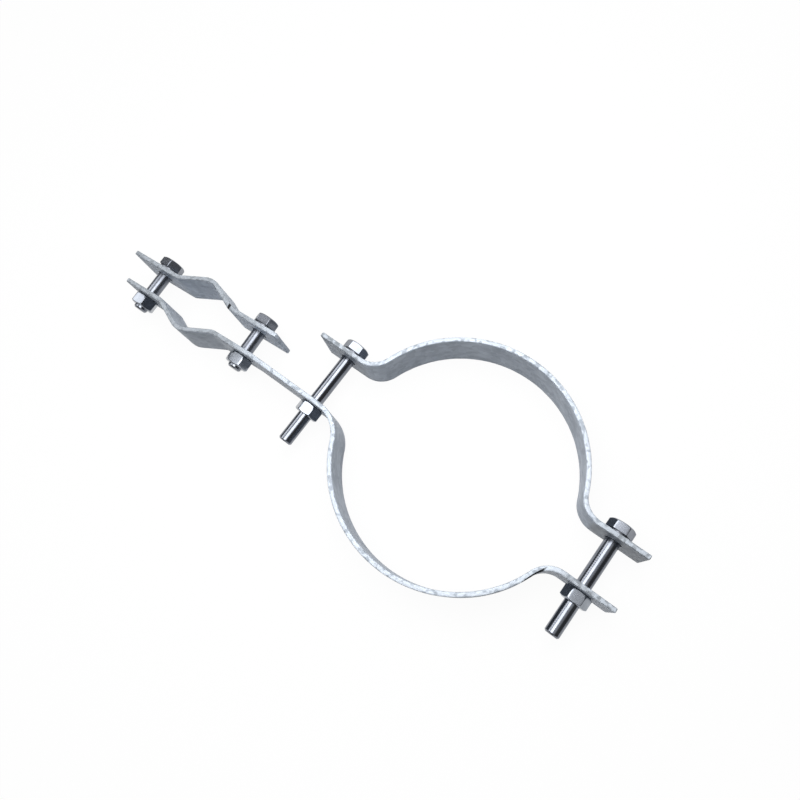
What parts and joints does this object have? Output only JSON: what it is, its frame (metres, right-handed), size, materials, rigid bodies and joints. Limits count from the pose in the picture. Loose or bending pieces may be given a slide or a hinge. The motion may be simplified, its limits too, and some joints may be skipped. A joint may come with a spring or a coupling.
{
  "type": "pole band",
  "caption": "Galvanised flat-bar pole band whose bolted halves grip a pole, with an arm that ends in a vee-shaped cable jaw closed by a bolted plate.",
  "frame": {"origin": "on the pole's axis, at the middle of the bar's width", "axes": "+Z along the pole, +Y along the band bolts from nut to head, -X along the arm to the cable jaw"},
  "size_m": [0.4903, 0.198, 0.04],
  "materials": {
    "galvanised_bar": "hot-dip galvanised flat bar, matt and slightly rough",
    "zinc_bolt": "galvanised bolt, smooth and half bright",
    "zinc_nut": "galvanised nut, smooth and half bright",
    "zinc_washer": "galvanised spring steel, dull"
  },
  "bodies": {
    "lower_half": {"lower_band": "galvanised_bar"},
    "upper_half": {"upper_band": "galvanised_bar", "band_bolt_left": "zinc_bolt", "band_bolt_right": "zinc_bolt", "band_washer_left": "zinc_washer", "band_washer_right": "zinc_washer"},
    "jaw_half": {"jaw_plate": "galvanised_bar", "jaw_bolt_left": "zinc_bolt", "jaw_bolt_right": "zinc_bolt", "jaw_washer_left": "zinc_washer", "jaw_washer_right": "zinc_washer"},
    "left_band_nut": {"band_nut_left": "zinc_nut"},
    "right_band_nut": {"band_nut_right": "zinc_nut"},
    "left_jaw_nut": {"jaw_nut_left": "zinc_nut"},
    "right_jaw_nut": {"jaw_nut_right": "zinc_nut"}
  },
  "joints": [
    {"name": "band_slide", "type": "slide", "parent": "lower_half", "child": "upper_half", "axis": [0, 1, 0], "range_m": [-0.038, 0.024]},
    {"name": "band_nut_left_spin", "type": "hinge", "parent": "lower_half", "child": "left_band_nut", "pos_m": [-0.12523, -0.03357, 0], "axis": [0, 1, 0], "range_deg": [-4940, 7820]},
    {"name": "band_nut_right_spin", "type": "hinge", "parent": "lower_half", "child": "right_band_nut", "pos_m": [0.12523, -0.02903, 0], "axis": [0, 1, 0], "range_deg": [-4940, 7820]},
    {"name": "jaw_slide", "type": "slide", "parent": "lower_half", "child": "jaw_half", "axis": [-0.0663, 0.9978, 0], "range_m": [-0.019, 0.003]},
    {"name": "jaw_nut_left_spin", "type": "hinge", "parent": "lower_half", "child": "left_jaw_nut", "pos_m": [-0.31335, -0.04183, 0], "axis": [-0.0663, 0.9978, 0], "range_deg": [-620, 3912]},
    {"name": "jaw_nut_right_spin", "type": "hinge", "parent": "lower_half", "child": "right_jaw_nut", "pos_m": [-0.20359, -0.03454, 0], "axis": [-0.0663, 0.9978, 0], "range_deg": [-620, 3912]}
  ],
  "couplings": [
    {"joint": "band_nut_left_spin", "follows": "band_slide", "rad_per_m": -3590.4},
    {"joint": "band_nut_right_spin", "follows": "band_slide", "rad_per_m": -3590.4},
    {"joint": "jaw_nut_left_spin", "follows": "jaw_slide", "rad_per_m": -3590.4},
    {"joint": "jaw_nut_right_spin", "follows": "jaw_slide", "rad_per_m": -3590.4}
  ]
}
